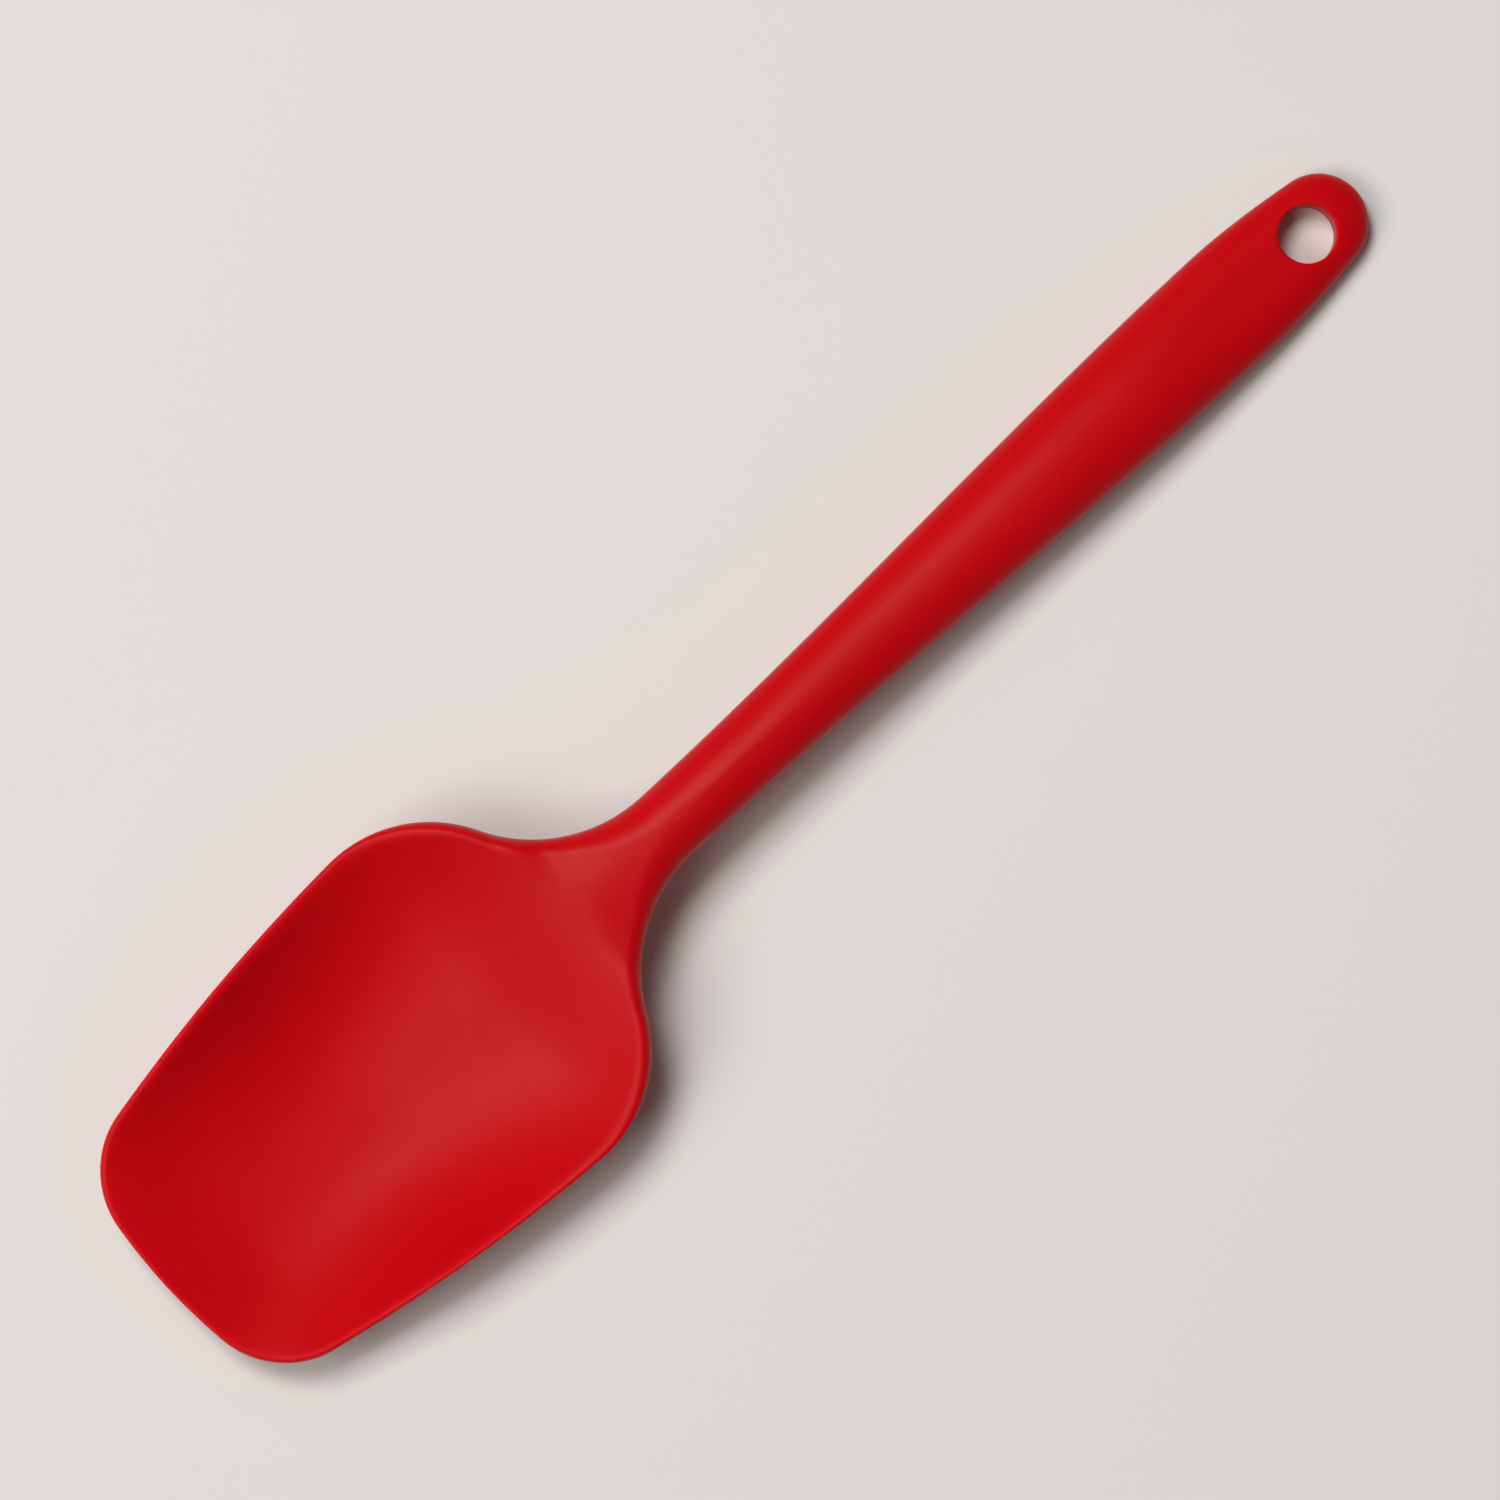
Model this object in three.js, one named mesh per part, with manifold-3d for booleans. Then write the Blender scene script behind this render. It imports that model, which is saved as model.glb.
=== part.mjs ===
// A seamless silicone spoon spatula: two halves of silicone skin moulded together round a stiff nylon core.
// Millimetres, +Z up. It lies as if put down on a table, with the tip towards +X and the hanging hole
// towards -X. The origin is on the table, under the middle of its length.
import * as THREE from 'three';
import { LoftGeometry } from 'three/addons/geometries/LoftGeometry.js';
import { mergeVertices } from 'three/addons/utils/BufferGeometryUtils.js';
import Module from 'manifold-3d';

const wasm = await Module();
wasm.setup();

// Plan view. A size ending in At is measured along the tool from the end of the handle.
const length = 280;
const endRadius = 8.7;
const endFlare = 0.14;
const gripWidth = 21;
const gripAt = 30;
const fullAt = 56;
const neckWidth = 13.2;
const neckRadius = 27.6;
const headWidth = 69.1;
const shoulderToTip = 71.5;
const shoulderRadius = 24.5;
const sideLean = 0.046;
const sideRadius = 366;
const cornerRadius = 16.8;
const tipRadius = 105;

// Side view: heights above the table of the parting line, where the two halves of skin meet.
const endHeight = 4.1;
const gripHeight = 7.7;
const neckHeight = 16;
const rimHeight = 15.6;
const cornerHeight = 11.9;
const tipHeight = 10.4;
const keelHeight = 8;

// Thickness at the middle of the tool's width, and at the edge of the head.
const endThickness = 8.8;
const gripThickness = 12.6;
const neckThickness = 10;
const saddleThickness = 7.5;
const ridgeThickness = 7.8;
const headThickness = 5;
const rimThickness = 2.8;
const tipThickness = 2.2;
const shoulderRound = 2.9;
const rimRound = 2.1;
const endRound = 3.5;
const sectionPower = 2.3;

// Bowl.
const ridgeToShoulder = 25.7;
const ridgeRound = 2.5;
const ridgeDrop = 0.6;
const shoulderToDeepest = 28;
const shoulderFill = 0.64;
const cornerFill = 0.57;
const tipDip = 1;
const bowlPower = 2.45;
const restCut = 0.9;

// Hanging hole.
const holeAt = 11.8;
const holeDiameter = 8.8;
const holeLip = 1.15;
const holeFlat = 2.3;

// Core.
const bondGap = 0.3;
const coreToHole = 3.4;
const coreCover = 2.2;
const lipWidth = 10;
const plateThickness = 1.4;
const plateRound = 0.6;
const plateKeyDiameter = 6;
const plateKeyPitch = 18;
const gripKeyDiameter = 3.6;
const gripKeyPitch = 30;

// Fineness of the lofts and the bores.
const skinSteps = 14;
const coreSteps = 8;
const coreShare = 0.5;
const boreSteps = 32;
const keySteps = 16;
const reach = 60;

const silicone = { color: 0xbe0a14, roughness: 0.5, metalness: 0 };
const nylon = { color: 0x2b2b2d, roughness: 0.55, metalness: 0 };

// Half of the plan outline, from the end of the handle round to the tip, as a chain of tangent curves.
function planCurves() {
  const grip = new THREE.Vector2(gripAt, gripWidth / 2);
  const endTop = new THREE.Vector2(endRadius, 0).add(polar(endRadius, Math.PI / 2 + endFlare));
  const flareReach = (grip.x - endTop.x) / 3;
  const flare = polar(flareReach / Math.cos(endFlare), endFlare).add(endTop);
  const neck = new THREE.Vector2(neckAt, neckWidth / 2);
  const taperReach = (neck.x - grip.x) / 3;
  const outOfNeck = angleTo(neckCentre, shoulderCentre);
  const ontoSide = angleTo(sideCentre, cornerCentre);
  const ontoTip = angleTo(tipCentre, cornerCentre);
  const up = Math.PI / 2;
  return [
    { steps: 7, curve: arc(new THREE.Vector2(endRadius, 0), endRadius, Math.PI, up + endFlare, true) },
    { steps: 5, curve: bezier(endTop, flare, new THREE.Vector2(grip.x - flareReach, grip.y), grip) },
    {
      steps: 15,
      curve: bezier(
        grip,
        new THREE.Vector2(grip.x + taperReach, grip.y),
        new THREE.Vector2(neck.x - taperReach, neck.y),
        neck,
      ),
    },
    { steps: 9, curve: arc(neckCentre, neckRadius, -up, outOfNeck, false) },
    { steps: 8, curve: arc(shoulderCentre, shoulderRadius, outOfNeck + Math.PI, up - sideLean, true) },
    { steps: 10, curve: arc(sideCentre, sideRadius, up - sideLean, ontoSide, true) },
    { steps: 6, curve: arc(cornerCentre, cornerRadius, ontoSide, ontoTip, true) },
    { steps: 6, curve: arc(tipCentre, tipRadius, ontoTip, 0, true) },
  ];
}

function polar(radius, angle) {
  return new THREE.Vector2(radius * Math.cos(angle), radius * Math.sin(angle));
}

function angleTo(from, to) {
  return to.clone().sub(from).angle();
}

function arc(centre, radius, from, to, clockwise) {
  return new THREE.EllipseCurve(centre.x, centre.y, radius, radius, from, to, clockwise);
}

function bezier(...points) {
  return new THREE.CubicBezierCurve(...points);
}

// Of the two points where circles about a and b cross, the one nearer the tip.
function crossing(a, radiusA, b, radiusB) {
  const apart = b.clone().sub(a);
  const between = apart.length();
  const along = (between ** 2 + radiusA ** 2 - radiusB ** 2) / (2 * between);
  const across = Math.sqrt(radiusA ** 2 - along ** 2);
  const unit = apart.divideScalar(between);
  const foot = a.clone().addScaledVector(unit, along);
  const normal = new THREE.Vector2(-unit.y, unit.x);
  return foot.addScaledVector(normal, Math.sign(normal.x) * across);
}

// Centres of the arcs of the head. The neck's arc touches the shoulder's from outside.
const shoulderAt = length - shoulderToTip;
const shoulderCentre = new THREE.Vector2(shoulderAt, headWidth / 2 - shoulderRadius);
const neckRise = neckWidth / 2 + neckRadius - shoulderCentre.y;
const neckAt = shoulderAt - Math.sqrt((neckRadius + shoulderRadius) ** 2 - neckRise ** 2);
const neckCentre = new THREE.Vector2(neckAt, neckWidth / 2 + neckRadius);
const sideAt = shoulderAt + shoulderRadius * Math.sin(sideLean);
const sideCentre = polar(shoulderRadius - sideRadius, Math.PI / 2 - sideLean).add(shoulderCentre);
const tipCentre = new THREE.Vector2(length - tipRadius, 0);
const cornerCentre = crossing(tipCentre, tipRadius - cornerRadius, sideCentre, sideRadius - cornerRadius);
const cornerAt = cornerCentre.x;
const ridgeAt = shoulderAt - ridgeToShoulder;
const deepestAt = shoulderAt + shoulderToDeepest;
const middleAt = (fullAt + neckAt) / 2;
const flatTo = holeAt + holeDiameter / 2 + holeFlat;
const coreAt = holeAt + holeDiameter / 2 + coreToHole;

// Points of the outline with the way out of it, each curve in a share of its own number of steps.
function outlinePoints(share) {
  return planCurves().flatMap(({ steps, curve }, k, all) => {
    const parts = Math.ceil(steps * share);
    const count = k === all.length - 1 ? parts + 1 : parts;
    return Array.from({ length: count }, (_, i) => {
      const point = curve.getPoint(i / parts);
      const tangent = curve.getTangent(i / parts);
      return { at: point.x, half: Math.max(point.y, 0), out: new THREE.Vector2(-tangent.y, tangent.x) };
    });
  });
}

const outline = outlinePoints(1);

// A smooth curve through knots of place and value that never swings past them.
function through(...knots) {
  const rise = knots.slice(1).map(([at, value], i) => (value - knots[i][1]) / (at - knots[i][0]));
  const slope = knots.map((_, i) => {
    const before = rise[Math.max(i - 1, 0)];
    const after = rise[Math.min(i, rise.length - 1)];
    return before * after > 0 ? (2 * before * after) / (before + after) : 0;
  });
  return (at) => {
    const next = knots.findIndex((knot) => knot[0] > at);
    if (next <= 0) {
      return next === 0 ? knots[0][1] : knots.at(-1)[1];
    }
    const [from, low] = knots[next - 1];
    const [to, high] = knots[next];
    const span = to - from;
    const t = (at - from) / span;
    const enter = t * (1 - t) ** 2 * span * slope[next - 1];
    const leave = t ** 2 * (t - 1) * span * slope[next];
    return low + (high - low) * t ** 2 * (3 - 2 * t) + enter + leave;
  };
}

// A value of the outline's points, at any place along the tool.
function alongOutline(pick) {
  const curve = new THREE.LinearInterpolant(outline.map((p) => p.at), outline.map(pick), 1, [0]);
  return (at) => curve.evaluate(at)[0];
}

const halfWidth = alongOutline((p) => p.half);
const sideways = alongOutline((p) => p.out.y);

const edgeHeight = through(
  [0, endHeight],
  [flatTo, endHeight],
  [fullAt, gripHeight],
  [middleAt, (gripHeight + neckHeight) / 2],
  [neckAt, neckHeight],
  [shoulderAt, (neckHeight + rimHeight) / 2],
  [deepestAt, rimHeight],
  [cornerAt, cornerHeight],
  [length, tipHeight],
);
const bowlDepth = rimHeight + restCut - headThickness / 2;
const dishKnots = through(
  [ridgeAt - ridgeRound, 0],
  [ridgeAt, ridgeDrop],
  [shoulderAt, bowlDepth * shoulderFill],
  [deepestAt, bowlDepth],
  [cornerAt, bowlDepth * cornerFill],
  [length, tipDip],
);
const halfThickness = through(
  [0, endThickness / 2],
  [flatTo, endThickness / 2],
  [fullAt, gripThickness / 2],
  [middleAt, (gripThickness + neckThickness) / 4],
  [neckAt, neckThickness / 2],
  [ridgeAt - ridgeRound, saddleThickness / 2],
  [ridgeAt + ridgeRound, ridgeThickness / 2],
  [shoulderAt, headThickness / 2],
  [deepestAt, headThickness / 2],
  [length, tipThickness / 2],
);
const underside = through(
  [neckAt, neckHeight - neckThickness / 2],
  [ridgeAt, keelHeight],
  [shoulderAt, edgeHeight(shoulderAt) - dishKnots(shoulderAt) - headThickness / 2],
  [deepestAt, -restCut],
);
const wingThickness = through(
  [neckAt, neckThickness / 2],
  [ridgeAt - ridgeRound, headThickness / 2],
  [ridgeAt + ridgeRound, ridgeThickness / 2],
  [shoulderAt, rimThickness / 2],
  [cornerAt, rimThickness / 2],
  [length, tipThickness / 2],
);
const edgeRound = through(
  [0, endRound],
  [flatTo, endRound],
  [fullAt, gripWidth / 2],
  [neckAt, neckWidth / 2],
  [ridgeAt, headThickness / 2],
  [shoulderAt, shoulderRound],
  [deepestAt, rimRound],
  [length, tipThickness / 2],
);
const spineHalf = through(
  [neckAt, neckWidth / 2],
  [ridgeAt, neckWidth * 0.75],
  [shoulderAt, headWidth / 4],
  [deepestAt, headWidth / 3],
  [length, headWidth / 3],
);

// The rounded edge of a section, from 0 on the outline to 1 at a distance of round inside it.
function swell(inside, round) {
  const outer = 1 - THREE.MathUtils.clamp(inside / round, 0, 1);
  return (1 - outer ** sectionPower) ** (1 / sectionPower);
}

// Half the width that the bowl's hollow is measured against: the tip's corners do not narrow it.
function bowlHalf(at) {
  if (at < sideAt) {
    return halfWidth(at);
  }
  return sideCentre.y + Math.sqrt(sideRadius ** 2 - (at - sideCentre.x) ** 2);
}

// Height of the surface between the two halves of skin.
function parting(at, y) {
  const dish = at > neckAt ? dishKnots(at) : 0;
  const share = Math.min(Math.abs(y) / Math.max(bowlHalf(at), 0.001), 1);
  return edgeHeight(at) - dish * (1 - share ** bowlPower);
}

function skinHalfThickness(at, y, middle) {
  const wing = at > neckAt ? Math.min(wingThickness(at), middle) : middle;
  const spine = Math.exp(-((y / spineHalf(Math.max(at, neckAt))) ** 2));
  const inside = (halfWidth(at) - Math.abs(y)) * sideways(at);
  const round = Math.min(edgeRound(at), Math.max(halfWidth(at), endRound));
  return (wing + (middle - wing) * spine) * swell(inside, round);
}

// The underside is flat where it would dip below the table, under the bowl and under the handle's end.
function upperFace(at, y) {
  return parting(at, y) + skinHalfThickness(at, y, halfThickness(at));
}

function lowerFace(at, y) {
  const middle = at > neckAt && at < deepestAt ? parting(at, 0) - underside(at) : halfThickness(at);
  return Math.max(parting(at, y) - skinHalfThickness(at, y, middle), 0);
}

// A closed loft over the stations: each section runs out over one height function and back over the other.
function pillow(stations, faceA, faceB, steps) {
  const sections = stations.map(({ at, half }) => {
    const turn = (i) => half * Math.sin(Math.PI * (0.5 - i / steps));
    const out = Array.from({ length: steps + 1 }, (_, i) => turn(i));
    const back = out.slice(1, -1).reverse();
    const point = (face) => (y) => new THREE.Vector3(at - length / 2, y, face(at, y, half));
    return [...out.map(point(faceA)), ...back.map(point(faceB))];
  });
  return new LoftGeometry(sections);
}

function solid(geometry) {
  const bare = new THREE.BufferGeometry();
  bare.setAttribute('position', geometry.attributes.position);
  bare.setIndex(geometry.index);
  const merged = mergeVertices(bare, 1e-4);
  const corners = merged.index.array;
  const kept = [];
  for (let i = 0; i < corners.length; i += 3) {
    const [a, b, c] = corners.subarray(i, i + 3);
    if (a !== b && b !== c && c !== a) {
      kept.push(a, b, c);
    }
  }
  return new wasm.Manifold(
    new wasm.Mesh({
      numProp: 3,
      vertProperties: merged.attributes.position.array,
      triVerts: new Uint32Array(kept),
    }),
  );
}

function mesh(name, made, look) {
  const { vertProperties, triVerts } = made.getMesh();
  const geometry = new THREE.BufferGeometry();
  geometry.setAttribute('position', new THREE.BufferAttribute(vertProperties, 3));
  geometry.setIndex(new THREE.BufferAttribute(triVerts, 1));
  geometry.computeVertexNormals();
  const result = new THREE.Mesh(geometry, new THREE.MeshStandardMaterial(look));
  result.name = name;
  return result;
}

// A half of the skin: its outer face, and the parting surface with the same triangles as the other half's.
function skinHalf(face, isLower) {
  const geometry = pillow(outline, face, parting, skinSteps);
  if (isLower) {
    geometry.setIndex(Array.from(geometry.index.array).reverse());
  }
  return solid(geometry);
}

// The core, or the room for it if grown by a gap. It lies under an even cover and stops short of the lip.
function coreSolid(grown) {
  const thinning = (at) => THREE.MathUtils.smoothstep(at, neckAt, shoulderAt);
  const stations = outlinePoints(coreShare).map(({ at, half, out }) => {
    const inset = THREE.MathUtils.lerp(coreCover, lipWidth, thinning(at)) - grown;
    return { at: at - inset * out.x, half: Math.max(half - inset * out.y, 0) };
  });
  const thickness = (at, y, half) => {
    const handle = halfThickness(at) - coreCover;
    const middle = THREE.MathUtils.lerp(handle, plateThickness / 2, thinning(at)) + grown;
    const round = THREE.MathUtils.lerp(half, plateRound + grown, thinning(at));
    return middle * swell(half - Math.abs(y), Math.max(round, 0.001));
  };
  const over = (at, y, half) => parting(at, y) + thickness(at, y, half);
  const under = (at, y, half) => parting(at, y) - thickness(at, y, half);
  const body = solid(pillow(stations, over, under, coreSteps));
  const kept = new THREE.BoxGeometry(length, headWidth, reach);
  kept.translate(coreAt - grown, 0, 0);
  return body.intersect(solid(kept));
}

// Round holes through the core, by which the two halves of skin grip it.
function keys(grown) {
  const plateRadius = plateKeyDiameter / 2 - grown;
  const inPlate = [-1, 0, 1].flatMap((k) => {
    const at = deepestAt + k * plateKeyPitch;
    return [-0.5, 0.5].map((row) => bore(at, row * plateKeyPitch, plateRadius));
  });
  const inGrip = Array.from({ length: 1 + Math.floor((neckAt - fullAt) / gripKeyPitch) }, (_, k) =>
    bore(fullAt + k * gripKeyPitch, 0, gripKeyDiameter / 2 - grown),
  );
  return [...inPlate, ...inGrip].reduce((joined, key) => joined.add(key));
}

function bore(at, y, radius) {
  const geometry = new THREE.CylinderGeometry(radius, radius, reach, keySteps);
  geometry.rotateX(Math.PI / 2);
  geometry.translate(at - length / 2, y, 0);
  return solid(geometry);
}

// The cutter of the hanging hole flares at both faces, which leaves a rounded lip there.
function hangingHole() {
  const radius = holeDiameter / 2;
  const top = upperFace(holeAt, 0);
  const lip = (height, from, to) => {
    const curve = arc(new THREE.Vector2(radius + holeLip, height), holeLip, from, to, true);
    return curve.getPoints(3);
  };
  const profile = [
    new THREE.Vector2(0, -reach),
    new THREE.Vector2(radius + holeLip, -reach),
    ...lip(holeLip, -Math.PI / 2, -Math.PI),
    ...lip(top - holeLip, Math.PI, Math.PI / 2),
    new THREE.Vector2(radius + holeLip, reach),
    new THREE.Vector2(0, reach),
  ];
  const geometry = new THREE.LatheGeometry(profile, boreSteps);
  geometry.rotateX(Math.PI / 2);
  geometry.translate(holeAt - length / 2, 0, 0);
  return solid(geometry);
}

const room = coreSolid(bondGap).subtract(keys(bondGap));
const hole = hangingHole();
const upper = skinHalf(upperFace, false).subtract(room).subtract(hole);
const lower = skinHalf(lowerFace, true).subtract(room).subtract(hole);
const core = coreSolid(0).subtract(keys(0));

const spatula = new THREE.Group();
spatula.name = 'spoon_spatula';
spatula.add(mesh('skin_upper', upper, silicone));
spatula.add(mesh('skin_lower', lower, silicone));
spatula.add(mesh('core', core, nylon));

export default spatula;
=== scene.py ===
"""A one-piece silicone spoon spatula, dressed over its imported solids.

Lengths are metres unless a name says otherwise. Along the tool, "at" is the distance from the
end of the handle, and the tool's X axis runs from the handle's end to the tip.
"""

import logging
import math
from bisect import bisect_right
from dataclasses import dataclass, field
from enum import Enum
from functools import cached_property
from typing import Any

import bmesh
import bpy
from mathutils import Matrix, Vector


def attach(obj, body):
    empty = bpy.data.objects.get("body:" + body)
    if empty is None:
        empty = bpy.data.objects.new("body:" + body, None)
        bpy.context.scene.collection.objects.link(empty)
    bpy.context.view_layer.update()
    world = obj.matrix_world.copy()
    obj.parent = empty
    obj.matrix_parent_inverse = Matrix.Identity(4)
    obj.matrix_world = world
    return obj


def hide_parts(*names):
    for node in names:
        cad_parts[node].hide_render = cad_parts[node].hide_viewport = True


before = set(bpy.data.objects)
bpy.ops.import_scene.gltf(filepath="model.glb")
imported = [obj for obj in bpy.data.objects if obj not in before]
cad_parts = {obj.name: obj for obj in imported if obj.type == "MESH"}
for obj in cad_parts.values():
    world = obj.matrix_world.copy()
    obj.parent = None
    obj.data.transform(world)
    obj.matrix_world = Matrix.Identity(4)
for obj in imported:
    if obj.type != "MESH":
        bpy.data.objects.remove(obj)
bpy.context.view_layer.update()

log = logging.getLogger("spatula")

MM = 0.001
# The outline is measured in this many steps, and its direction is read over this length.
OUTLINE_STEPS = 4000
OUTLINE_REACH = 0.002 * MM
# Noise seldom leaves this range, so it is stretched to the full swing of a finish.
NOISE_LOW, NOISE_HIGH = 0.3, 0.7
# The Mix node's outputs share one name. This one is its colour.
MIX_COLOUR = 2


class Side(Enum):
    """The two sides of the silicone skin."""

    UPPER = 1
    LOWER = -1


class Gives(Enum):
    """What a lamp gives the scene."""

    LIGHT = "light"
    SHEEN = "sheen"
    BOTH = "both"


def linear(colour: str) -> tuple[float, float, float, float]:
    """Turns an sRGB hex colour into the linear values that shaders take.

    Args:
        colour: Six hex digits after a hash sign.

    Returns:
        Linear red, green and blue, and an alpha of 1.
    """
    channels = [int(colour[i : i + 2], 16) / 255 for i in (1, 3, 5)]
    # The numbers are those of the sRGB standard: a straight foot, and a power curve above it.
    return (*(c / 12.92 if c <= 0.04045 else ((c + 0.055) / 1.055) ** 2.4 for c in channels), 1.0)


def add_node(
    tree: bpy.types.NodeTree,
    kind: str,
    settings: dict[str, Any],
    links: dict[str, bpy.types.NodeSocket],
) -> bpy.types.Node:
    """Adds a shader node with its settings and its incoming links.

    Args:
        tree: The node tree of a material or the world.
        kind: Blender's type name of the node.
        settings: Values by name, each of a property of the node or else of one of its inputs.
        links: Output sockets by the name of the input that takes each.

    Returns:
        The new node.
    """
    node = tree.nodes.new(kind)
    sockets = {}
    for name, value in settings.items():
        if name in node.bl_rna.properties:
            setattr(node, name, value)
        else:
            sockets[name] = value
    inputs = {socket.name: socket for socket in node.inputs if socket.enabled}
    for name, value in sockets.items():
        inputs[name].default_value = value
    for name, output in links.items():
        tree.links.new(output, inputs[name])
    return node


def new_material(name: str) -> tuple[bpy.types.Material, bpy.types.NodeTree]:
    """Starts a material with no nodes.

    Args:
        name: The material's name.

    Returns:
        The material and its node tree.
    """
    material = bpy.data.materials.new(name)
    material.use_nodes = True
    material.node_tree.nodes.clear()
    return material, material.node_tree


@dataclass(frozen=True)
class MouldedSilicone:
    """Pigmented silicone, moulded in a finely blasted mould."""

    # The blasted mould leaves a soft satin face, which spreads each lamp into a wide, faint sheen.
    # Light that enters the silicone blurs its shading. The thin lip's paler colour is a painted
    # glow, which stands in for light shining through the thin silicone.
    colour: str = "#C60410"
    cloud_colour: str = "#C0030C"
    # Painted glow: a paler red on the thin lip, for light that shines through it.
    painted_lip_glow_colour: str = "#CE0A16"
    roughness: float = 0.43
    roughness_swing: float = 0.015
    ior: float = 1.41
    specular: float = 0.16
    # Light goes a few millimetres deep, red much further than green or blue.
    depth_share: float = 0.35
    depth_mm: float = 4.0
    depth_ratio: tuple[float, float, float] = (1.0, 0.1, 0.08)
    # Clouds of pigment and patches of wear on the mould, both hardly visible.
    cloud_mm: float = 22.0
    cloud_detail: float = 3.0
    patch_mm: float = 7.0
    patch_detail: float = 4.0
    # The mould's grit is about 0.05 mm. It is drawn at 0.35 mm, the finest grain that the render
    # can show.
    grain_mm: float = 0.35
    grain_depth_mm: float = 0.006
    grain_detail: float = 2.0

    def material(self) -> bpy.types.Material:
        """Builds the silicone's material.

        Returns:
            A material that reads the mesh's lip attribute for the painted glow on the thin lip.
        """
        material, tree = new_material("silicone_moulded_satin")
        place = add_node(tree, "ShaderNodeTexCoord", {}, {}).outputs["Object"]
        cloud = add_node(
            tree,
            "ShaderNodeTexNoise",
            {"Scale": 1 / (self.cloud_mm * MM), "Detail": self.cloud_detail},
            {"Vector": place},
        )
        body = add_node(
            tree,
            "ShaderNodeMix",
            {"data_type": "RGBA", "A": linear(self.cloud_colour), "B": linear(self.colour)},
            {"Factor": cloud.outputs["Fac"]},
        )
        # The lip attribute mixes in the painted glow of the thin lip.
        lip = add_node(tree, "ShaderNodeAttribute", {"attribute_name": "lip"}, {})
        colour = add_node(
            tree,
            "ShaderNodeMix",
            {"data_type": "RGBA", "B": linear(self.painted_lip_glow_colour)},
            {"Factor": lip.outputs["Fac"], "A": body.outputs[MIX_COLOUR]},
        )
        patch = add_node(
            tree,
            "ShaderNodeTexNoise",
            {"Scale": 1 / (self.patch_mm * MM), "Detail": self.patch_detail},
            {"Vector": place},
        )
        rough = add_node(
            tree,
            "ShaderNodeMapRange",
            {
                "From Min": NOISE_LOW,
                "From Max": NOISE_HIGH,
                "To Min": self.roughness - self.roughness_swing,
                "To Max": self.roughness + self.roughness_swing,
            },
            {"Value": patch.outputs["Fac"]},
        )
        grain = add_node(
            tree,
            "ShaderNodeTexNoise",
            {"Scale": 1 / (self.grain_mm * MM), "Detail": self.grain_detail},
            {"Vector": place},
        )
        bump = add_node(
            tree,
            "ShaderNodeBump",
            {"Strength": 1.0, "Distance": self.grain_depth_mm * MM},
            {"Height": grain.outputs["Fac"]},
        )
        surface = add_node(
            tree,
            "ShaderNodeBsdfPrincipled",
            {
                "IOR": self.ior,
                "Specular IOR Level": self.specular,
                "Subsurface Weight": self.depth_share,
                "Subsurface Radius": self.depth_ratio,
                "Subsurface Scale": self.depth_mm * MM,
            },
            {
                "Base Color": colour.outputs[MIX_COLOUR],
                "Roughness": rough.outputs["Result"],
                "Normal": bump.outputs["Normal"],
            },
        )
        add_node(tree, "ShaderNodeOutputMaterial", {}, {"Surface": surface.outputs["BSDF"]})
        return material


@dataclass(frozen=True)
class MouldedNylon:
    """Glass-filled nylon, as it leaves the mould."""

    # The fibres leave a dull, near-black face, with faint streaks along the way the melt flowed.
    colour: str = "#2B2B2D"
    streak_colour: str = "#36363A"
    roughness: float = 0.48
    ior: float = 1.53
    streak_mm: float = 1.5
    streak_length_mm: float = 30.0
    streak_detail: float = 3.0

    def material(self) -> bpy.types.Material:
        """Builds the nylon's material.

        Returns:
            The material.
        """
        material, tree = new_material("nylon_glass_filled_moulded")
        place = add_node(tree, "ShaderNodeTexCoord", {}, {}).outputs["Object"]
        along = self.streak_mm / self.streak_length_mm
        drawn = add_node(tree, "ShaderNodeMapping", {"Scale": (along, 1.0, 1.0)}, {"Vector": place})
        streak = add_node(
            tree,
            "ShaderNodeTexNoise",
            {"Scale": 1 / (self.streak_mm * MM), "Detail": self.streak_detail},
            {"Vector": drawn.outputs["Vector"]},
        )
        colour = add_node(
            tree,
            "ShaderNodeMix",
            {"data_type": "RGBA", "A": linear(self.colour), "B": linear(self.streak_colour)},
            {"Factor": streak.outputs["Fac"]},
        )
        surface = add_node(
            tree,
            "ShaderNodeBsdfPrincipled",
            {"IOR": self.ior, "Roughness": self.roughness},
            {"Base Color": colour.outputs[MIX_COLOUR]},
        )
        add_node(tree, "ShaderNodeOutputMaterial", {}, {"Surface": surface.outputs["BSDF"]})
        return material


@dataclass(frozen=True)
class MattPaint:
    """Matt wall paint, rolled on the studio floor."""

    # The paint is pale and has next to no gloss, so the floor shows the tool's shadow and no lamp.
    colour: str = "#E0DDD8"
    roughness: float = 0.95
    specular: float = 0.1

    def material(self) -> bpy.types.Material:
        """Builds the floor paint's material.

        Returns:
            The material.
        """
        material, tree = new_material("floor_matt_paint")
        surface = add_node(
            tree,
            "ShaderNodeBsdfPrincipled",
            {
                "Base Color": linear(self.colour),
                "Roughness": self.roughness,
                "Specular IOR Level": self.specular,
            },
            {},
        )
        add_node(tree, "ShaderNodeOutputMaterial", {}, {"Surface": surface.outputs["BSDF"]})
        return material


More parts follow.
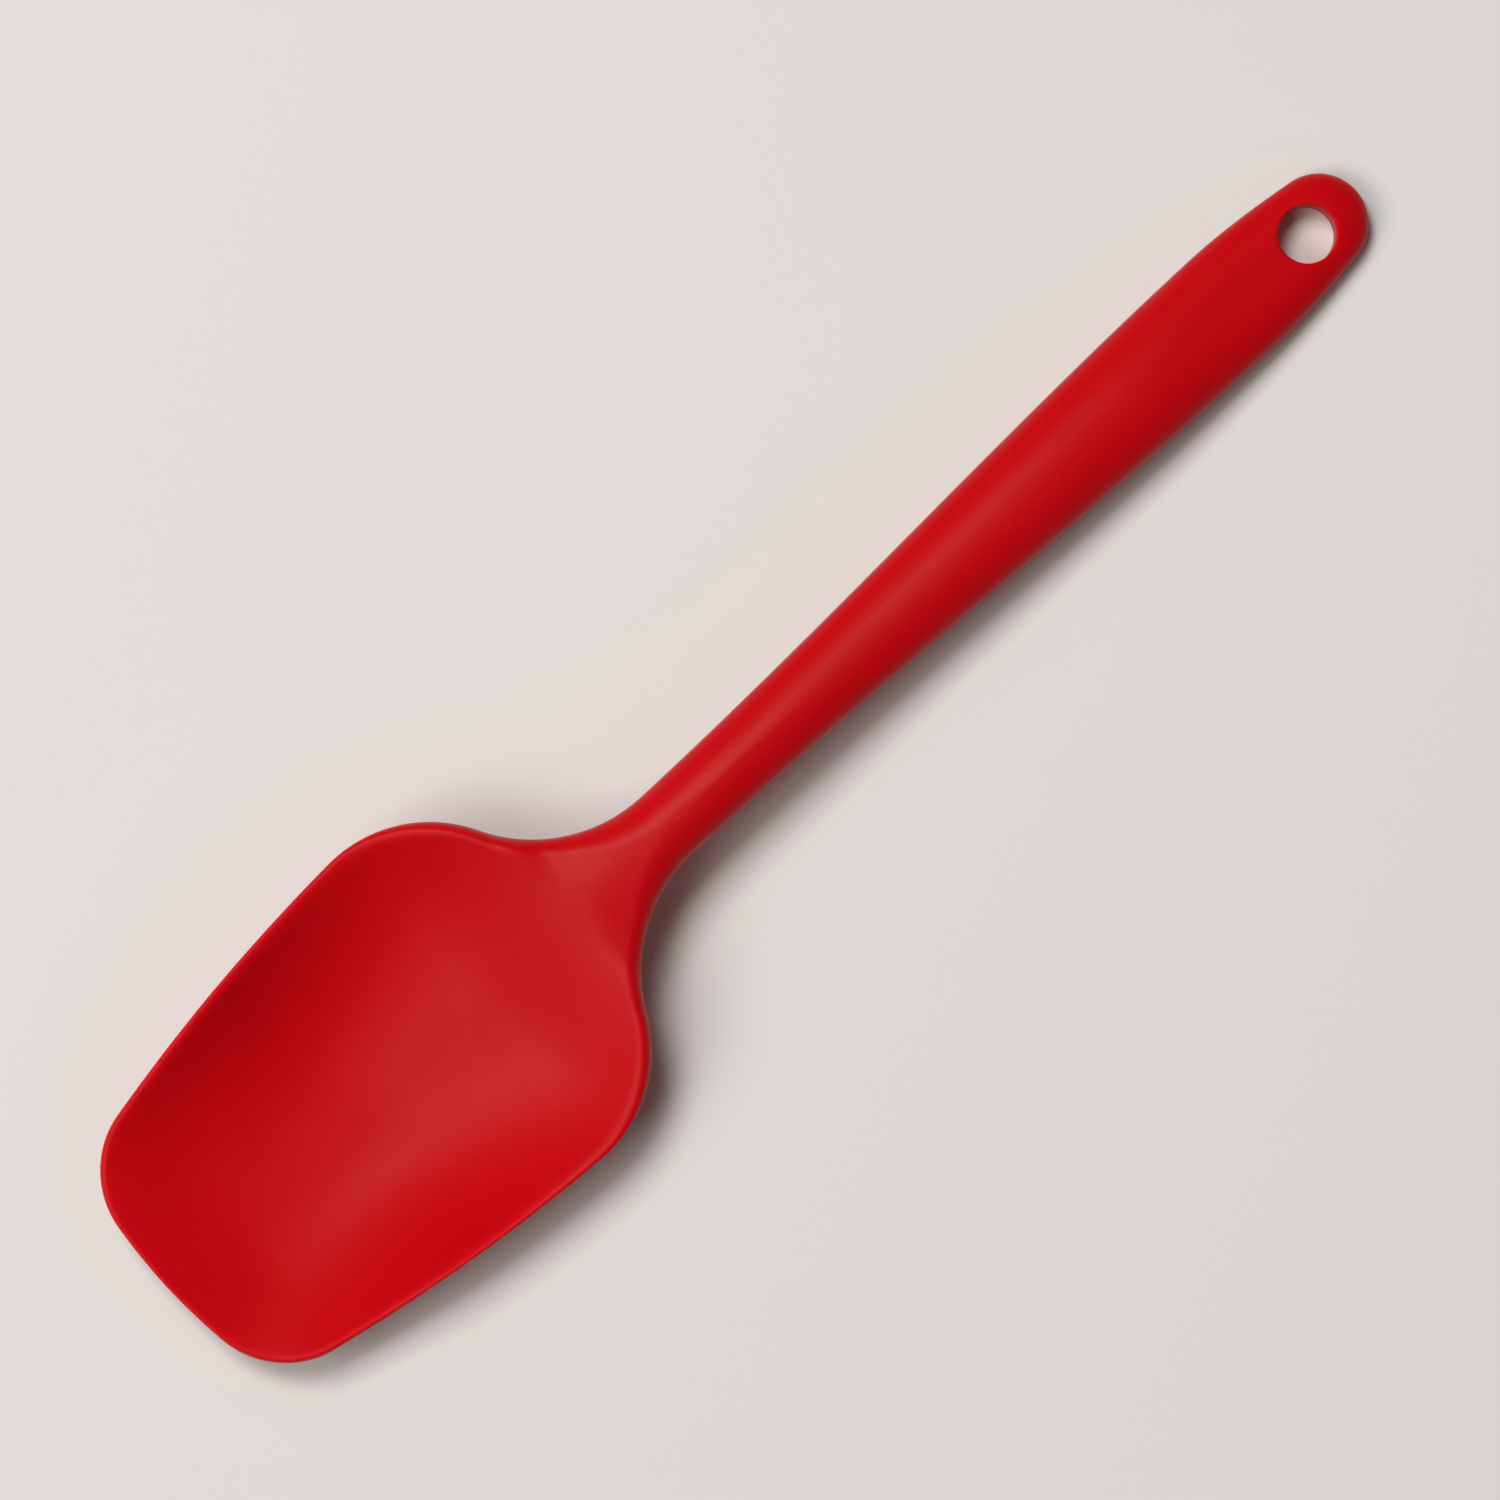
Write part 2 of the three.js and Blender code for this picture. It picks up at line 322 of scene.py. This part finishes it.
@dataclass(frozen=True)
class Run:
    """A smooth run of values along the tool, through knots that it never swings past."""

    knots: tuple[tuple[float, float], ...]

    @cached_property
    def slopes(self) -> list[float]:
        """Finds the slope at each knot.

        Returns:
            The slopes, which are level where the values turn back.
        """
        rises = [(b[1] - a[1]) / (b[0] - a[0]) for a, b in zip(self.knots, self.knots[1:])]
        before = [rises[0], *rises]
        after = [*rises, rises[-1]]
        return [2 * a * b / (a + b) if a * b > 0 else 0.0 for a, b in zip(before, after)]

    def __call__(self, at: float) -> float:
        """Reads the run.

        Args:
            at: The place along the tool.

        Returns:
            The value there, which stays level beyond the first and last knots.
        """
        places = [knot[0] for knot in self.knots]
        after = bisect_right(places, at)
        if after == 0 or after == len(places):
            return self.knots[max(after - 1, 0)][1]
        (start, low), (stop, high) = self.knots[after - 1], self.knots[after]
        span = stop - start
        t = (at - start) / span
        enter = t * (1 - t) ** 2 * span * self.slopes[after - 1]
        leave = t**2 * (t - 1) * span * self.slopes[after]
        return low + (high - low) * t**2 * (3 - 2 * t) + enter + leave


@dataclass(frozen=True)
class Section:
    """A cross-section of the tool, square to its length.

    The outline lies at half, on a parting surface that dips by dish below the edge. The skin swells
    over and under it, less at the wings than at the spine. On the handle's round end, cap is the
    end's radius, and elsewhere it is 0.
    """

    at: float
    half: float
    outward: Vector
    edge: float
    dish: float
    bowl_half: float
    over: float
    under: float
    wing: float
    spine: float
    rounding: float
    fullness: float
    hollowness: float
    cap: float

    def parting(self, y: float) -> float:
        """The height of the surface midway between the two sides of the skin."""
        share = min(abs(y) / max(self.bowl_half, MM), 1.0)
        return self.edge - self.dish * (1 - share**self.hollowness)

    def swell(self, y: float) -> float:
        """Finds how full the section is.

        Args:
            y: The place across the tool.

        Returns:
            0 on the outline, and 1 past the rounded edge.
        """
        depth = (self.half - abs(y)) * self.outward.y
        if self.cap:
            depth = min(depth, self.cap - math.hypot(self.at - self.cap, y))
        inside = depth / self.rounding
        return (1 - (1 - min(max(inside, 0.0), 1.0)) ** self.fullness) ** (1 / self.fullness)

    def height(self, y: float, side: Side) -> float:
        """Finds the skin's height.

        Args:
            y: The place across the tool.
            side: The side of the skin.

        Returns:
            The height above the table, which the underside doesn't go below.
        """
        middle = self.over if side is Side.UPPER else self.under
        wing = min(self.wing, middle)
        thickness = (wing + (middle - wing) * math.exp(-((y / self.spine) ** 2))) * self.swell(y)
        return max(self.parting(y) + side.value * thickness, 0.0)


@dataclass
class SpatulaForm:
    """The tool's sizes, and the surfaces that follow from them.

    The flare and the lean are in radians. Fills, spines and powers have no unit.
    """

    length: float = 280 * MM
    end_radius: float = 8.7 * MM
    end_flare: float = 0.14
    grip_width: float = 21 * MM
    grip_at: float = 30 * MM
    full_at: float = 56 * MM
    neck_width: float = 13.2 * MM
    neck_radius: float = 27.6 * MM
    head_width: float = 69.1 * MM
    shoulder_to_tip: float = 71.5 * MM
    shoulder_radius: float = 24.5 * MM
    side_lean: float = 0.046
    side_radius: float = 366 * MM
    corner_radius: float = 16.8 * MM
    tip_radius: float = 105 * MM

    end_height: float = 4.1 * MM
    grip_height: float = 7.7 * MM
    neck_height: float = 16 * MM
    rim_height: float = 15.6 * MM
    corner_height: float = 11.9 * MM
    tip_height: float = 10.4 * MM
    keel_height: float = 8 * MM

    end_thickness: float = 8.8 * MM
    grip_thickness: float = 12.6 * MM
    neck_thickness: float = 10 * MM
    saddle_thickness: float = 7.5 * MM
    ridge_thickness: float = 7.8 * MM
    head_thickness: float = 5 * MM
    rim_thickness: float = 2.8 * MM
    tip_thickness: float = 2.2 * MM
    shoulder_round: float = 2.9 * MM
    rim_round: float = 2.1 * MM
    end_round: float = 7.4 * MM
    end_slope: float = 1.4 * MM
    section_power: float = 2.1

    ridge_to_shoulder: float = 25.7 * MM
    ridge_round: float = 2.5 * MM
    ridge_drop: float = 0.6 * MM
    shoulder_to_deepest: float = 28 * MM
    shoulder_fill: float = 0.64
    corner_fill: float = 0.57
    tip_dip: float = 1 * MM
    bowl_power: float = 2.45
    rest_cut: float = 0.9 * MM
    # How far the thick spine spreads: shares of the neck's width, and then of the head's.
    ridge_spine: float = 0.75
    shoulder_spine: float = 1 / 4
    bowl_spine: float = 1 / 3

    hole_at: float = 11.8 * MM
    hole_diameter: float = 10.2 * MM
    hole_lip: float = 0.45 * MM
    hole_flat: float = 1.6 * MM

    def __post_init__(self) -> None:
        """Works out the centres of the outline's arcs and the runs of heights and thicknesses."""
        self.shoulder_at = self.length - self.shoulder_to_tip
        self.shoulder = Vector((self.shoulder_at, self.head_width / 2 - self.shoulder_radius))
        rise = self.neck_width / 2 + self.neck_radius - self.shoulder.y
        reach = math.sqrt((self.neck_radius + self.shoulder_radius) ** 2 - rise**2)
        self.neck = Vector((self.shoulder_at - reach, self.neck_width / 2 + self.neck_radius))
        lean = Vector((math.sin(self.side_lean), math.cos(self.side_lean)))
        self.side = self.shoulder - (self.side_radius - self.shoulder_radius) * lean
        self.side_at = self.shoulder_at + self.shoulder_radius * lean.x
        self.tip = Vector((self.length - self.tip_radius, 0.0))
        self.corner = self._corner_centre()
        self.end_top = Vector((self.end_radius, 0.0)) + self.end_radius * Vector(
            (-math.sin(self.end_flare), math.cos(self.end_flare))
        )
        self.hole_top = self.end_height + self.end_thickness / 2
        self.top = self.neck_height + self.neck_thickness / 2
        self._set_runs()

    def _corner_centre(self) -> Vector:
        """Finds the centre of the arc that touches the side's arc and the tip's from inside.

        Returns:
            The centre of the corner's arc.
        """
        from_side = self.side_radius - self.corner_radius
        from_tip = self.tip_radius - self.corner_radius
        apart = self.side - self.tip
        along = (apart.length_squared + from_tip**2 - from_side**2) / (2 * apart.length)
        across = math.sqrt(from_tip**2 - along**2)
        unit = apart.normalized()
        return self.tip + along * unit + across * Vector((abs(unit.y), unit.x))

    def _set_runs(self) -> None:
        """Sets the runs of height and thickness along the tool."""
        neck_at, shoulder_at, corner_at = self.neck.x, self.shoulder_at, self.corner.x
        ridge_at = shoulder_at - self.ridge_to_shoulder
        self.deepest_at = deepest_at = shoulder_at + self.shoulder_to_deepest
        middle_at = (self.full_at + neck_at) / 2
        flat_to = self.hole_at + self.hole_diameter / 2 + self.hole_flat
        depth = self.rim_height + self.rest_cut - self.head_thickness / 2
        self.edge_run = Run(
            (
                (0.0, self.end_height - self.end_slope / 2),
                (flat_to, self.end_height),
                (self.full_at, self.grip_height),
                (middle_at, (self.grip_height + self.neck_height) / 2),
                (neck_at, self.neck_height),
                (shoulder_at, (self.neck_height + self.rim_height) / 2),
                (deepest_at, self.rim_height),
                (corner_at, self.corner_height),
                (self.length, self.tip_height),
            )
        )
        self.dish_run = Run(
            (
                (ridge_at - self.ridge_round, 0.0),
                (ridge_at, self.ridge_drop),
                (shoulder_at, depth * self.shoulder_fill),
                (deepest_at, depth),
                (corner_at, depth * self.corner_fill),
                (self.length, self.tip_dip),
            )
        )
        self.thickness_run = Run(
            (
                (0.0, (self.end_thickness - self.end_slope) / 2),
                (flat_to, self.end_thickness / 2),
                (self.full_at, self.grip_thickness / 2),
                (middle_at, (self.grip_thickness + self.neck_thickness) / 4),
                (neck_at, self.neck_thickness / 2),
                (ridge_at - self.ridge_round, self.saddle_thickness / 2),
                (ridge_at + self.ridge_round, self.ridge_thickness / 2),
                (shoulder_at, self.head_thickness / 2),
                (deepest_at, self.head_thickness / 2),
                (self.length, self.tip_thickness / 2),
            )
        )
        shoulder_middle = self.edge_run(shoulder_at) - depth * self.shoulder_fill
        shoulder_underside = shoulder_middle - self.head_thickness / 2
        self.underside_run = Run(
            (
                (neck_at, self.neck_height - self.neck_thickness / 2),
                (ridge_at, self.keel_height),
                (shoulder_at, shoulder_underside),
                (deepest_at, -self.rest_cut),
            )
        )
        self.wing_run = Run(
            (
                (neck_at, self.neck_thickness / 2),
                (ridge_at - self.ridge_round, self.head_thickness / 2),
                (ridge_at + self.ridge_round, self.ridge_thickness / 2),
                (shoulder_at, self.rim_thickness / 2),
                (corner_at, self.rim_thickness / 2),
                (self.length, self.tip_thickness / 2),
            )
        )
        self.rounding_run = Run(
            (
                (0.0, self.end_round),
                (flat_to, self.end_round),
                (self.full_at, self.grip_width / 2),
                (neck_at, self.neck_width / 2),
                (ridge_at, self.head_thickness / 2),
                (shoulder_at, self.shoulder_round),
                (deepest_at, self.rim_round),
                (self.length, self.tip_thickness / 2),
            )
        )
        self.spine_run = Run(
            (
                (neck_at, self.neck_width / 2),
                (ridge_at, self.neck_width * self.ridge_spine),
                (shoulder_at, self.head_width * self.shoulder_spine),
                (deepest_at, self.head_width * self.bowl_spine),
                (self.length, self.head_width * self.bowl_spine),
            )
        )

    def half_width(self, at: float) -> float:
        """Finds half the tool's width.

        Args:
            at: The place along the tool.

        Returns:
            The distance from the middle plane to the outline.
        """
        grip = self.grip_width / 2
        neck = self.neck_width / 2
        turn = self.shoulder - self.neck
        out_of_neck = self.neck.x + turn.x * self.neck_radius / turn.length
        off_side = self.corner + (self.corner - self.side).normalized() * self.corner_radius
        off_corner = self.corner + (self.corner - self.tip).normalized() * self.corner_radius
        if at <= self.end_top.x:
            return self._arc(Vector((self.end_radius, 0.0)), self.end_radius, at)
        if at <= self.grip_at:
            span = self.grip_at - self.end_top.x
            t = (at - self.end_top.x) / span
            eased = self.end_top.y + (grip - self.end_top.y) * t**2 * (3 - 2 * t)
            return eased + span * math.tan(self.end_flare) * t * (1 - t) ** 2
        if at <= self.neck.x:
            t = (at - self.grip_at) / (self.neck.x - self.grip_at)
            return grip + (neck - grip) * t**2 * (3 - 2 * t)
        if at <= out_of_neck:
            return 2 * self.neck.y - self._arc(self.neck, self.neck_radius, at)
        if at <= self.side_at:
            return self._arc(self.shoulder, self.shoulder_radius, at)
        if at <= off_side.x:
            return self._arc(self.side, self.side_radius, at)
        if at <= off_corner.x:
            return self._arc(self.corner, self.corner_radius, at)
        return self._arc(self.tip, self.tip_radius, at)

    @staticmethod
    def _arc(centre: Vector, radius: float, at: float) -> float:
        """The upper side of a circle at a place along the tool."""
        return centre.y + math.sqrt(max(radius**2 - (at - centre.x) ** 2, 0.0))

    def outward(self, at: float) -> Vector:
        """Finds the way out of the outline.

        Args:
            at: The place along the tool.

        Returns:
            The unit vector square to the outline, on its positive side.
        """
        low = max(at - OUTLINE_REACH, 0.0)
        high = min(at + OUTLINE_REACH, self.length)
        return Vector((self.half_width(low) - self.half_width(high), high - low)).normalized()

    def section(self, at: float) -> Section:
        """Cuts the tool across.

        Args:
            at: The place along the tool.

        Returns:
            The section there.
        """
        half = self.half_width(at)
        dish = self.dish_run(at)
        edge = self.edge_run(at)
        over = self.thickness_run(at)
        keeled = self.neck.x < at < self.deepest_at
        return Section(
            at=at,
            half=half,
            outward=self.outward(at),
            edge=edge,
            dish=dish,
            bowl_half=half if at < self.side_at else self._arc(self.side, self.side_radius, at),
            over=over,
            under=edge - dish - self.underside_run(at) if keeled else over,
            wing=self.wing_run(at) if at > self.neck.x else over,
            spine=self.spine_run(at),
            rounding=min(self.rounding_run(at), max(half, self.end_round)),
            fullness=self.section_power,
            hollowness=self.bowl_power,
            cap=self.end_radius if at <= self.end_top.x else 0.0,
        )

    def stations(self, count: int) -> list[float]:
        """Finds places along the tool that are evenly spaced along its outline.

        Args:
            count: The number of steps from end to end.

        Returns:
            The places, from the handle's end to the tip.
        """
        turns = [math.pi * i / OUTLINE_STEPS for i in range(OUTLINE_STEPS + 1)]
        fine = [self.length * (1 - math.cos(turn)) / 2 for turn in turns]
        halves = [self.half_width(at) for at in fine]
        run = [0.0]
        for i in range(OUTLINE_STEPS):
            run.append(run[-1] + math.hypot(fine[i + 1] - fine[i], halves[i + 1] - halves[i]))
        places = []
        for k in range(count + 1):
            target = run[-1] * k / count
            i = min(max(bisect_right(run, target) - 1, 0), OUTLINE_STEPS - 1)
            share = (target - run[i]) / (run[i + 1] - run[i])
            places.append(fine[i] + min(share, 1.0) * (fine[i + 1] - fine[i]))
        return places


@dataclass
class SiliconeSkin:
    """The seamless silicone body: handle, neck and head in one moulding, with a hanging hole."""

    form: SpatulaForm
    finish: MouldedSilicone
    along: int = 340
    across: int = 64
    merge_within: float = 0.0002 * MM
    # The hole's opening is cut this much wider than its lip, and then closed by rings.
    hole_clear: float = 0.45 * MM
    hole_segments: int = 96
    lip_steps: int = 6
    wall_steps: int = 6
    wall_clear: float = 0.1 * MM
    # Each ring is a little lower than the one before, because loops in one plane can bridge
    # inside out.
    outer_ring_reach: float = 0.2 * MM
    outer_ring_drop: float = 0.025 * MM
    lip_ring_drop: float = 0.04 * MM
    # The parting line's flash: how far it stands out, and half its width.
    flash_height: float = 0.08 * MM
    flash_half: float = 0.22 * MM
    # How far in from the outline the painted glow of the thin lip reaches.
    lip_glow_reach: float = 3 * MM
    sections: list[Section] = field(default_factory=list)

    def build(self) -> bpy.types.Object:
        """Models the skin and dresses it.

        Returns:
            The skin's object.
        """
        self.sections = [self.form.section(at) for at in self.form.stations(self.along)]
        bm = bmesh.new()
        # The lip layer carries the painted glow of the thin lip.
        lip = bm.verts.layers.float.new("lip")
        for side in Side:
            self._lay(bm, side, lip)
        bmesh.ops.remove_doubles(bm, verts=bm.verts, dist=self.merge_within)
        self._pierce(bm)
        bmesh.ops.recalc_face_normals(bm, faces=bm.faces)
        for face in bm.faces:
            face.smooth = True
        mesh = bpy.data.meshes.new("silicone_skin")
        bm.to_mesh(mesh)
        bm.free()
        skin = bpy.data.objects.new("silicone_skin", mesh)
        bpy.context.collection.objects.link(skin)
        skin.data.materials.append(self.finish.material())
        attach(skin, "root")
        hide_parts("skin_upper", "skin_lower")
        log.info("silicone_skin: %d faces", len(mesh.polygons))
        return skin

    def _lay(self, bm: bmesh.types.BMesh, side: Side, lip: bmesh.types.BMLayerItem) -> None:
        """Lays a grid over the tool's plan and lifts it to one side of the skin.

        Args:
            bm: The mesh in the making.
            side: The side to make.
            lip: The vertex layer for the painted glow on the thin lip, by how near it each vertex
                lies.
        """
        form = self.form
        grid = bmesh.ops.create_grid(bm, x_segments=self.along, y_segments=self.across, size=1.0)
        for vert in grid["verts"]:
            section = self.sections[round((vert.co.x + 1) / 2 * self.along)]
            # The sine crowds the grid's lines towards the rounded edge.
            sine = math.sin(vert.co.y * math.pi / 2)
            y = section.half * sine
            z = section.height(y, side)
            # The lip layer holds the painted glow of the thin lip.
            vert[lip] = self._lip_glow_share(section, y)
            # Only the flash reaches the outline. The rest of the edge stands back by its height.
            raised = max(1 - ((z - section.parting(y)) / self.flash_half) ** 2, 0.0)
            push = self.flash_height * (raised**2 - 1) * abs(sine)
            x = section.at - form.length / 2 + push * section.outward.x
            y += math.copysign(1.0, y) * push * section.outward.y
            vert.co = (x, y, min(z, form.top))

    def _lip_glow_share(self, section: Section, y: float) -> float:
        """Finds how much of the painted glow on the thin lip shows.

        Args:
            section: A section of the tool.
            y: The place across it.

        Returns:
            1 on the outline of the bowl, falling to 0 past the lip and along the neck.
        """
        form = self.form
        near = 1 - min((section.half - abs(y)) * section.outward.y / self.lip_glow_reach, 1.0)
        headward = (section.at - form.neck.x) / (form.deepest_at - form.neck.x)
        return near**2 * min(max(headward, 0.0), 1.0)

    def _pierce(self, bm: bmesh.types.BMesh) -> None:
        """Opens the hanging hole and lines it with rings, from one side of the skin to the other.

        Args:
            bm: The mesh in the making.
        """
        form = self.form
        centre = Vector((form.hole_at - form.length / 2, 0.0))
        rim = form.hole_diameter / 2 + form.hole_lip
        clear = rim + self.hole_clear
        inside = [
            face
            for face in bm.faces
            if any((vert.co.xy - centre).length < clear for vert in face.verts)
        ]
        bmesh.ops.delete(bm, geom=inside, context="FACES")
        mouths = {side: [] for side in Side}
        for edge in bm.edges:
            if edge.is_boundary:
                height = (edge.verts[0].co.z + edge.verts[1].co.z) / 2
                mouths[Side.UPPER if height > form.end_height else Side.LOWER].append(edge)
        rings = self._hole_rings(bm, centre)
        last = mouths[Side.UPPER]
        for ring in rings:
            bmesh.ops.bridge_loops(bm, edges=last + ring)
            last = ring
        bmesh.ops.bridge_loops(bm, edges=last + mouths[Side.LOWER])
        # The rings are made flat, and then follow the handle's rounded end.
        for vert in {vert for ring in rings for edge in ring for vert in edge.verts}:
            section = form.section(vert.co.x + form.length / 2)
            share = (vert.co.z - form.end_height) / (form.end_thickness / 2)
            vert.co.z = max(section.edge + share * section.over * section.swell(vert.co.y), 0.0)

    def _hole_rings(self, bm: bmesh.types.BMesh, centre: Vector) -> list[list[bmesh.types.BMEdge]]:
        """Makes the rings that line the hole, rounded over at both of its lips.

        Args:
            bm: The mesh in the making.
            centre: The hole's middle in plan.

        Returns:
            The edges of each ring, from the upper side down.
        """
        form = self.form
        radius = form.hole_diameter / 2
        lip = form.hole_lip
        top = form.hole_top
        roll = [(radius + lip + self.outer_ring_reach, self.outer_ring_drop)]
        for k in range(self.lip_steps + 1):
            turn = math.pi / 2 * k / self.lip_steps
            drop = self.lip_ring_drop + lip * (1 - math.cos(turn))
            roll.append((radius + lip * (1 - math.sin(turn)), drop))
        wall = [top * k / self.wall_steps for k in range(self.wall_steps - 1, 0, -1)]
        margin = lip + self.wall_clear
        profile = [(ring_radius, top - drop) for ring_radius, drop in roll]
        profile += [(radius, height) for height in wall if margin < height < top - margin]
        profile += reversed(roll)
        rings = []
        for ring_radius, height in profile:
            made = bmesh.ops.create_circle(
                bm,
                segments=self.hole_segments,
                radius=ring_radius,
                matrix=Matrix.Translation((centre.x, centre.y, height)),
            )
            rings.append(list({edge for vert in made["verts"] for edge in vert.link_edges}))
        return rings


@dataclass(frozen=True)
class Lamp:
    """A lamp that faces the tool.

    Its bearing is in degrees from X, and its elevation in degrees above the floor.
    """

    name: str
    distance: float
    bearing: float
    elevation: float
    power: float
    gives: Gives

    def _hang(self, data: bpy.types.Light, aim: float = 0.0) -> None:
        """Hangs the lamp.

        Args:
            data: The lamp's light.
            aim: The place on the X axis that it faces.
        """
        data.energy = self.power
        lamp = bpy.data.objects.new(self.name, data)
        turn, lift = math.radians(self.bearing), math.radians(self.elevation)
        level = math.cos(lift)
        way = Vector((math.cos(turn) * level, math.sin(turn) * level, math.sin(lift)))
        lamp.visible_diffuse = self.gives is not Gives.SHEEN
        lamp.visible_glossy = self.gives is not Gives.LIGHT
        lamp.location = Vector((aim, 0.0, 0.0)) + way * self.distance
        lamp.rotation_euler = way.to_track_quat("Z", "Y").to_euler()
        bpy.context.collection.objects.link(lamp)


@dataclass(frozen=True)
class Softbox(Lamp):
    """A square soft lamp."""

    side: float

    def hang(self) -> None:
        """Hangs the softbox."""
        data = bpy.data.lights.new(self.name, "AREA")
        data.shape = "SQUARE"
        data.size = self.side
        self._hang(data)


@dataclass(frozen=True)
class Snoot(Lamp):
    """A round lamp behind a snoot, whose cone, in degrees, fades from its middle to its edge."""

    radius: float
    cone: float
    aim: float
    fade: float = 1.0

    def hang(self) -> None:
        """Hangs the snooted lamp."""
        data = bpy.data.lights.new(self.name, "SPOT")
        data.shadow_soft_size = self.radius
        data.spot_size = math.radians(self.cone)
        data.spot_blend = self.fade
        self._hang(data, self.aim)


@dataclass
class Studio:
    """The floor, the lamps and the overhead camera."""

    paint: MattPaint
    # The key lights the tool across its length and casts its shadow.
    key: Softbox = Softbox(
        "key",
        distance=3.0,
        bearing=-96.0,
        elevation=65.0,
        power=56.0,
        gives=Gives.LIGHT,
        side=1.1,
    )
    # The accent gives the handle and the bowl their sheen, which fades towards both ends.
    accent: Snoot = Snoot(
        "accent",
        distance=3.0,
        bearing=-84.0,
        elevation=70.0,
        power=195.0,
        gives=Gives.SHEEN,
        radius=0.08,
        cone=5.2,
        aim=-2 * MM,
    )
    # The window fills in from the tip's end.
    window: Softbox = Softbox(
        "window",
        distance=3.0,
        bearing=-22.0,
        elevation=54.0,
        power=39.0,
        gives=Gives.BOTH,
        side=1.6,
    )
    sky: float = 0.1
    sky_colour: str = "#FFFFFF"
    floor_side: float = 6.0
    view_width: float = 258.8 * MM
    view_centre: tuple[float, float, float] = (3.13 * MM, 0.17 * MM, 10 * MM)
    view_right: tuple[float, float] = (-0.73471, 0.67838)
    camera_distance: float = 1.2
    sensor: float = 36.0

    def build(self) -> None:
        """Sets up the whole studio."""
        self._lay_floor()
        self.key.hang()
        self.accent.hang()
        self.window.hang()
        self._light_sky()
        self._place_camera()
        bpy.context.scene.view_settings.view_transform = "Standard"
        log.info("studio: floor, lamps, camera")

    def _lay_floor(self) -> None:
        """Lays the floor that the tool rests on."""
        bm = bmesh.new()
        bmesh.ops.create_grid(bm, x_segments=1, y_segments=1, size=self.floor_side / 2)
        mesh = bpy.data.meshes.new("floor")
        bm.to_mesh(mesh)
        bm.free()
        floor = bpy.data.objects.new("floor", mesh)
        floor.data.materials.append(self.paint.material())
        bpy.context.collection.objects.link(floor)

    def _light_sky(self) -> None:
        """Gives the room its even, dim light."""
        world = bpy.data.worlds.new("room")
        world.use_nodes = True
        tree = world.node_tree
        tree.nodes.clear()
        settings = {"Color": linear(self.sky_colour), "Strength": self.sky}
        sky = add_node(tree, "ShaderNodeBackground", settings, {})
        add_node(tree, "ShaderNodeOutputWorld", {}, {"Surface": sky.outputs["Background"]})
        bpy.context.scene.world = world

    def _place_camera(self) -> None:
        """Hangs the camera straight above the tool, with the handle to the upper right."""
        data = bpy.data.cameras.new("overhead")
        data.sensor_width = self.sensor
        data.lens = self.sensor * self.camera_distance / self.view_width
        camera = bpy.data.objects.new("overhead", data)
        right = Vector((*self.view_right, 0.0)).normalized()
        back = Vector((0.0, 0.0, 1.0))
        turn = Matrix((right, back.cross(right), back)).transposed().to_4x4()
        place = Vector(self.view_centre) + back * self.camera_distance
        camera.matrix_world = Matrix.Translation(place) @ turn
        bpy.context.collection.objects.link(camera)
        bpy.context.scene.camera = camera


def dress_core(finish: MouldedNylon) -> None:
    """Gives the hidden core its nylon finish.

    Args:
        finish: The core's finish.
    """
    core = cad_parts["core"]
    material = finish.material()
    for slot in core.material_slots:
        slot.material = material
    log.info("core: %s", material.name)


def main() -> None:
    """Builds the studio and the tool in order."""
    logging.basicConfig(level=logging.INFO)
    Studio(MattPaint()).build()
    SiliconeSkin(SpatulaForm(), MouldedSilicone()).build()
    dress_core(MouldedNylon())


if __name__ == "__main__":
    main()
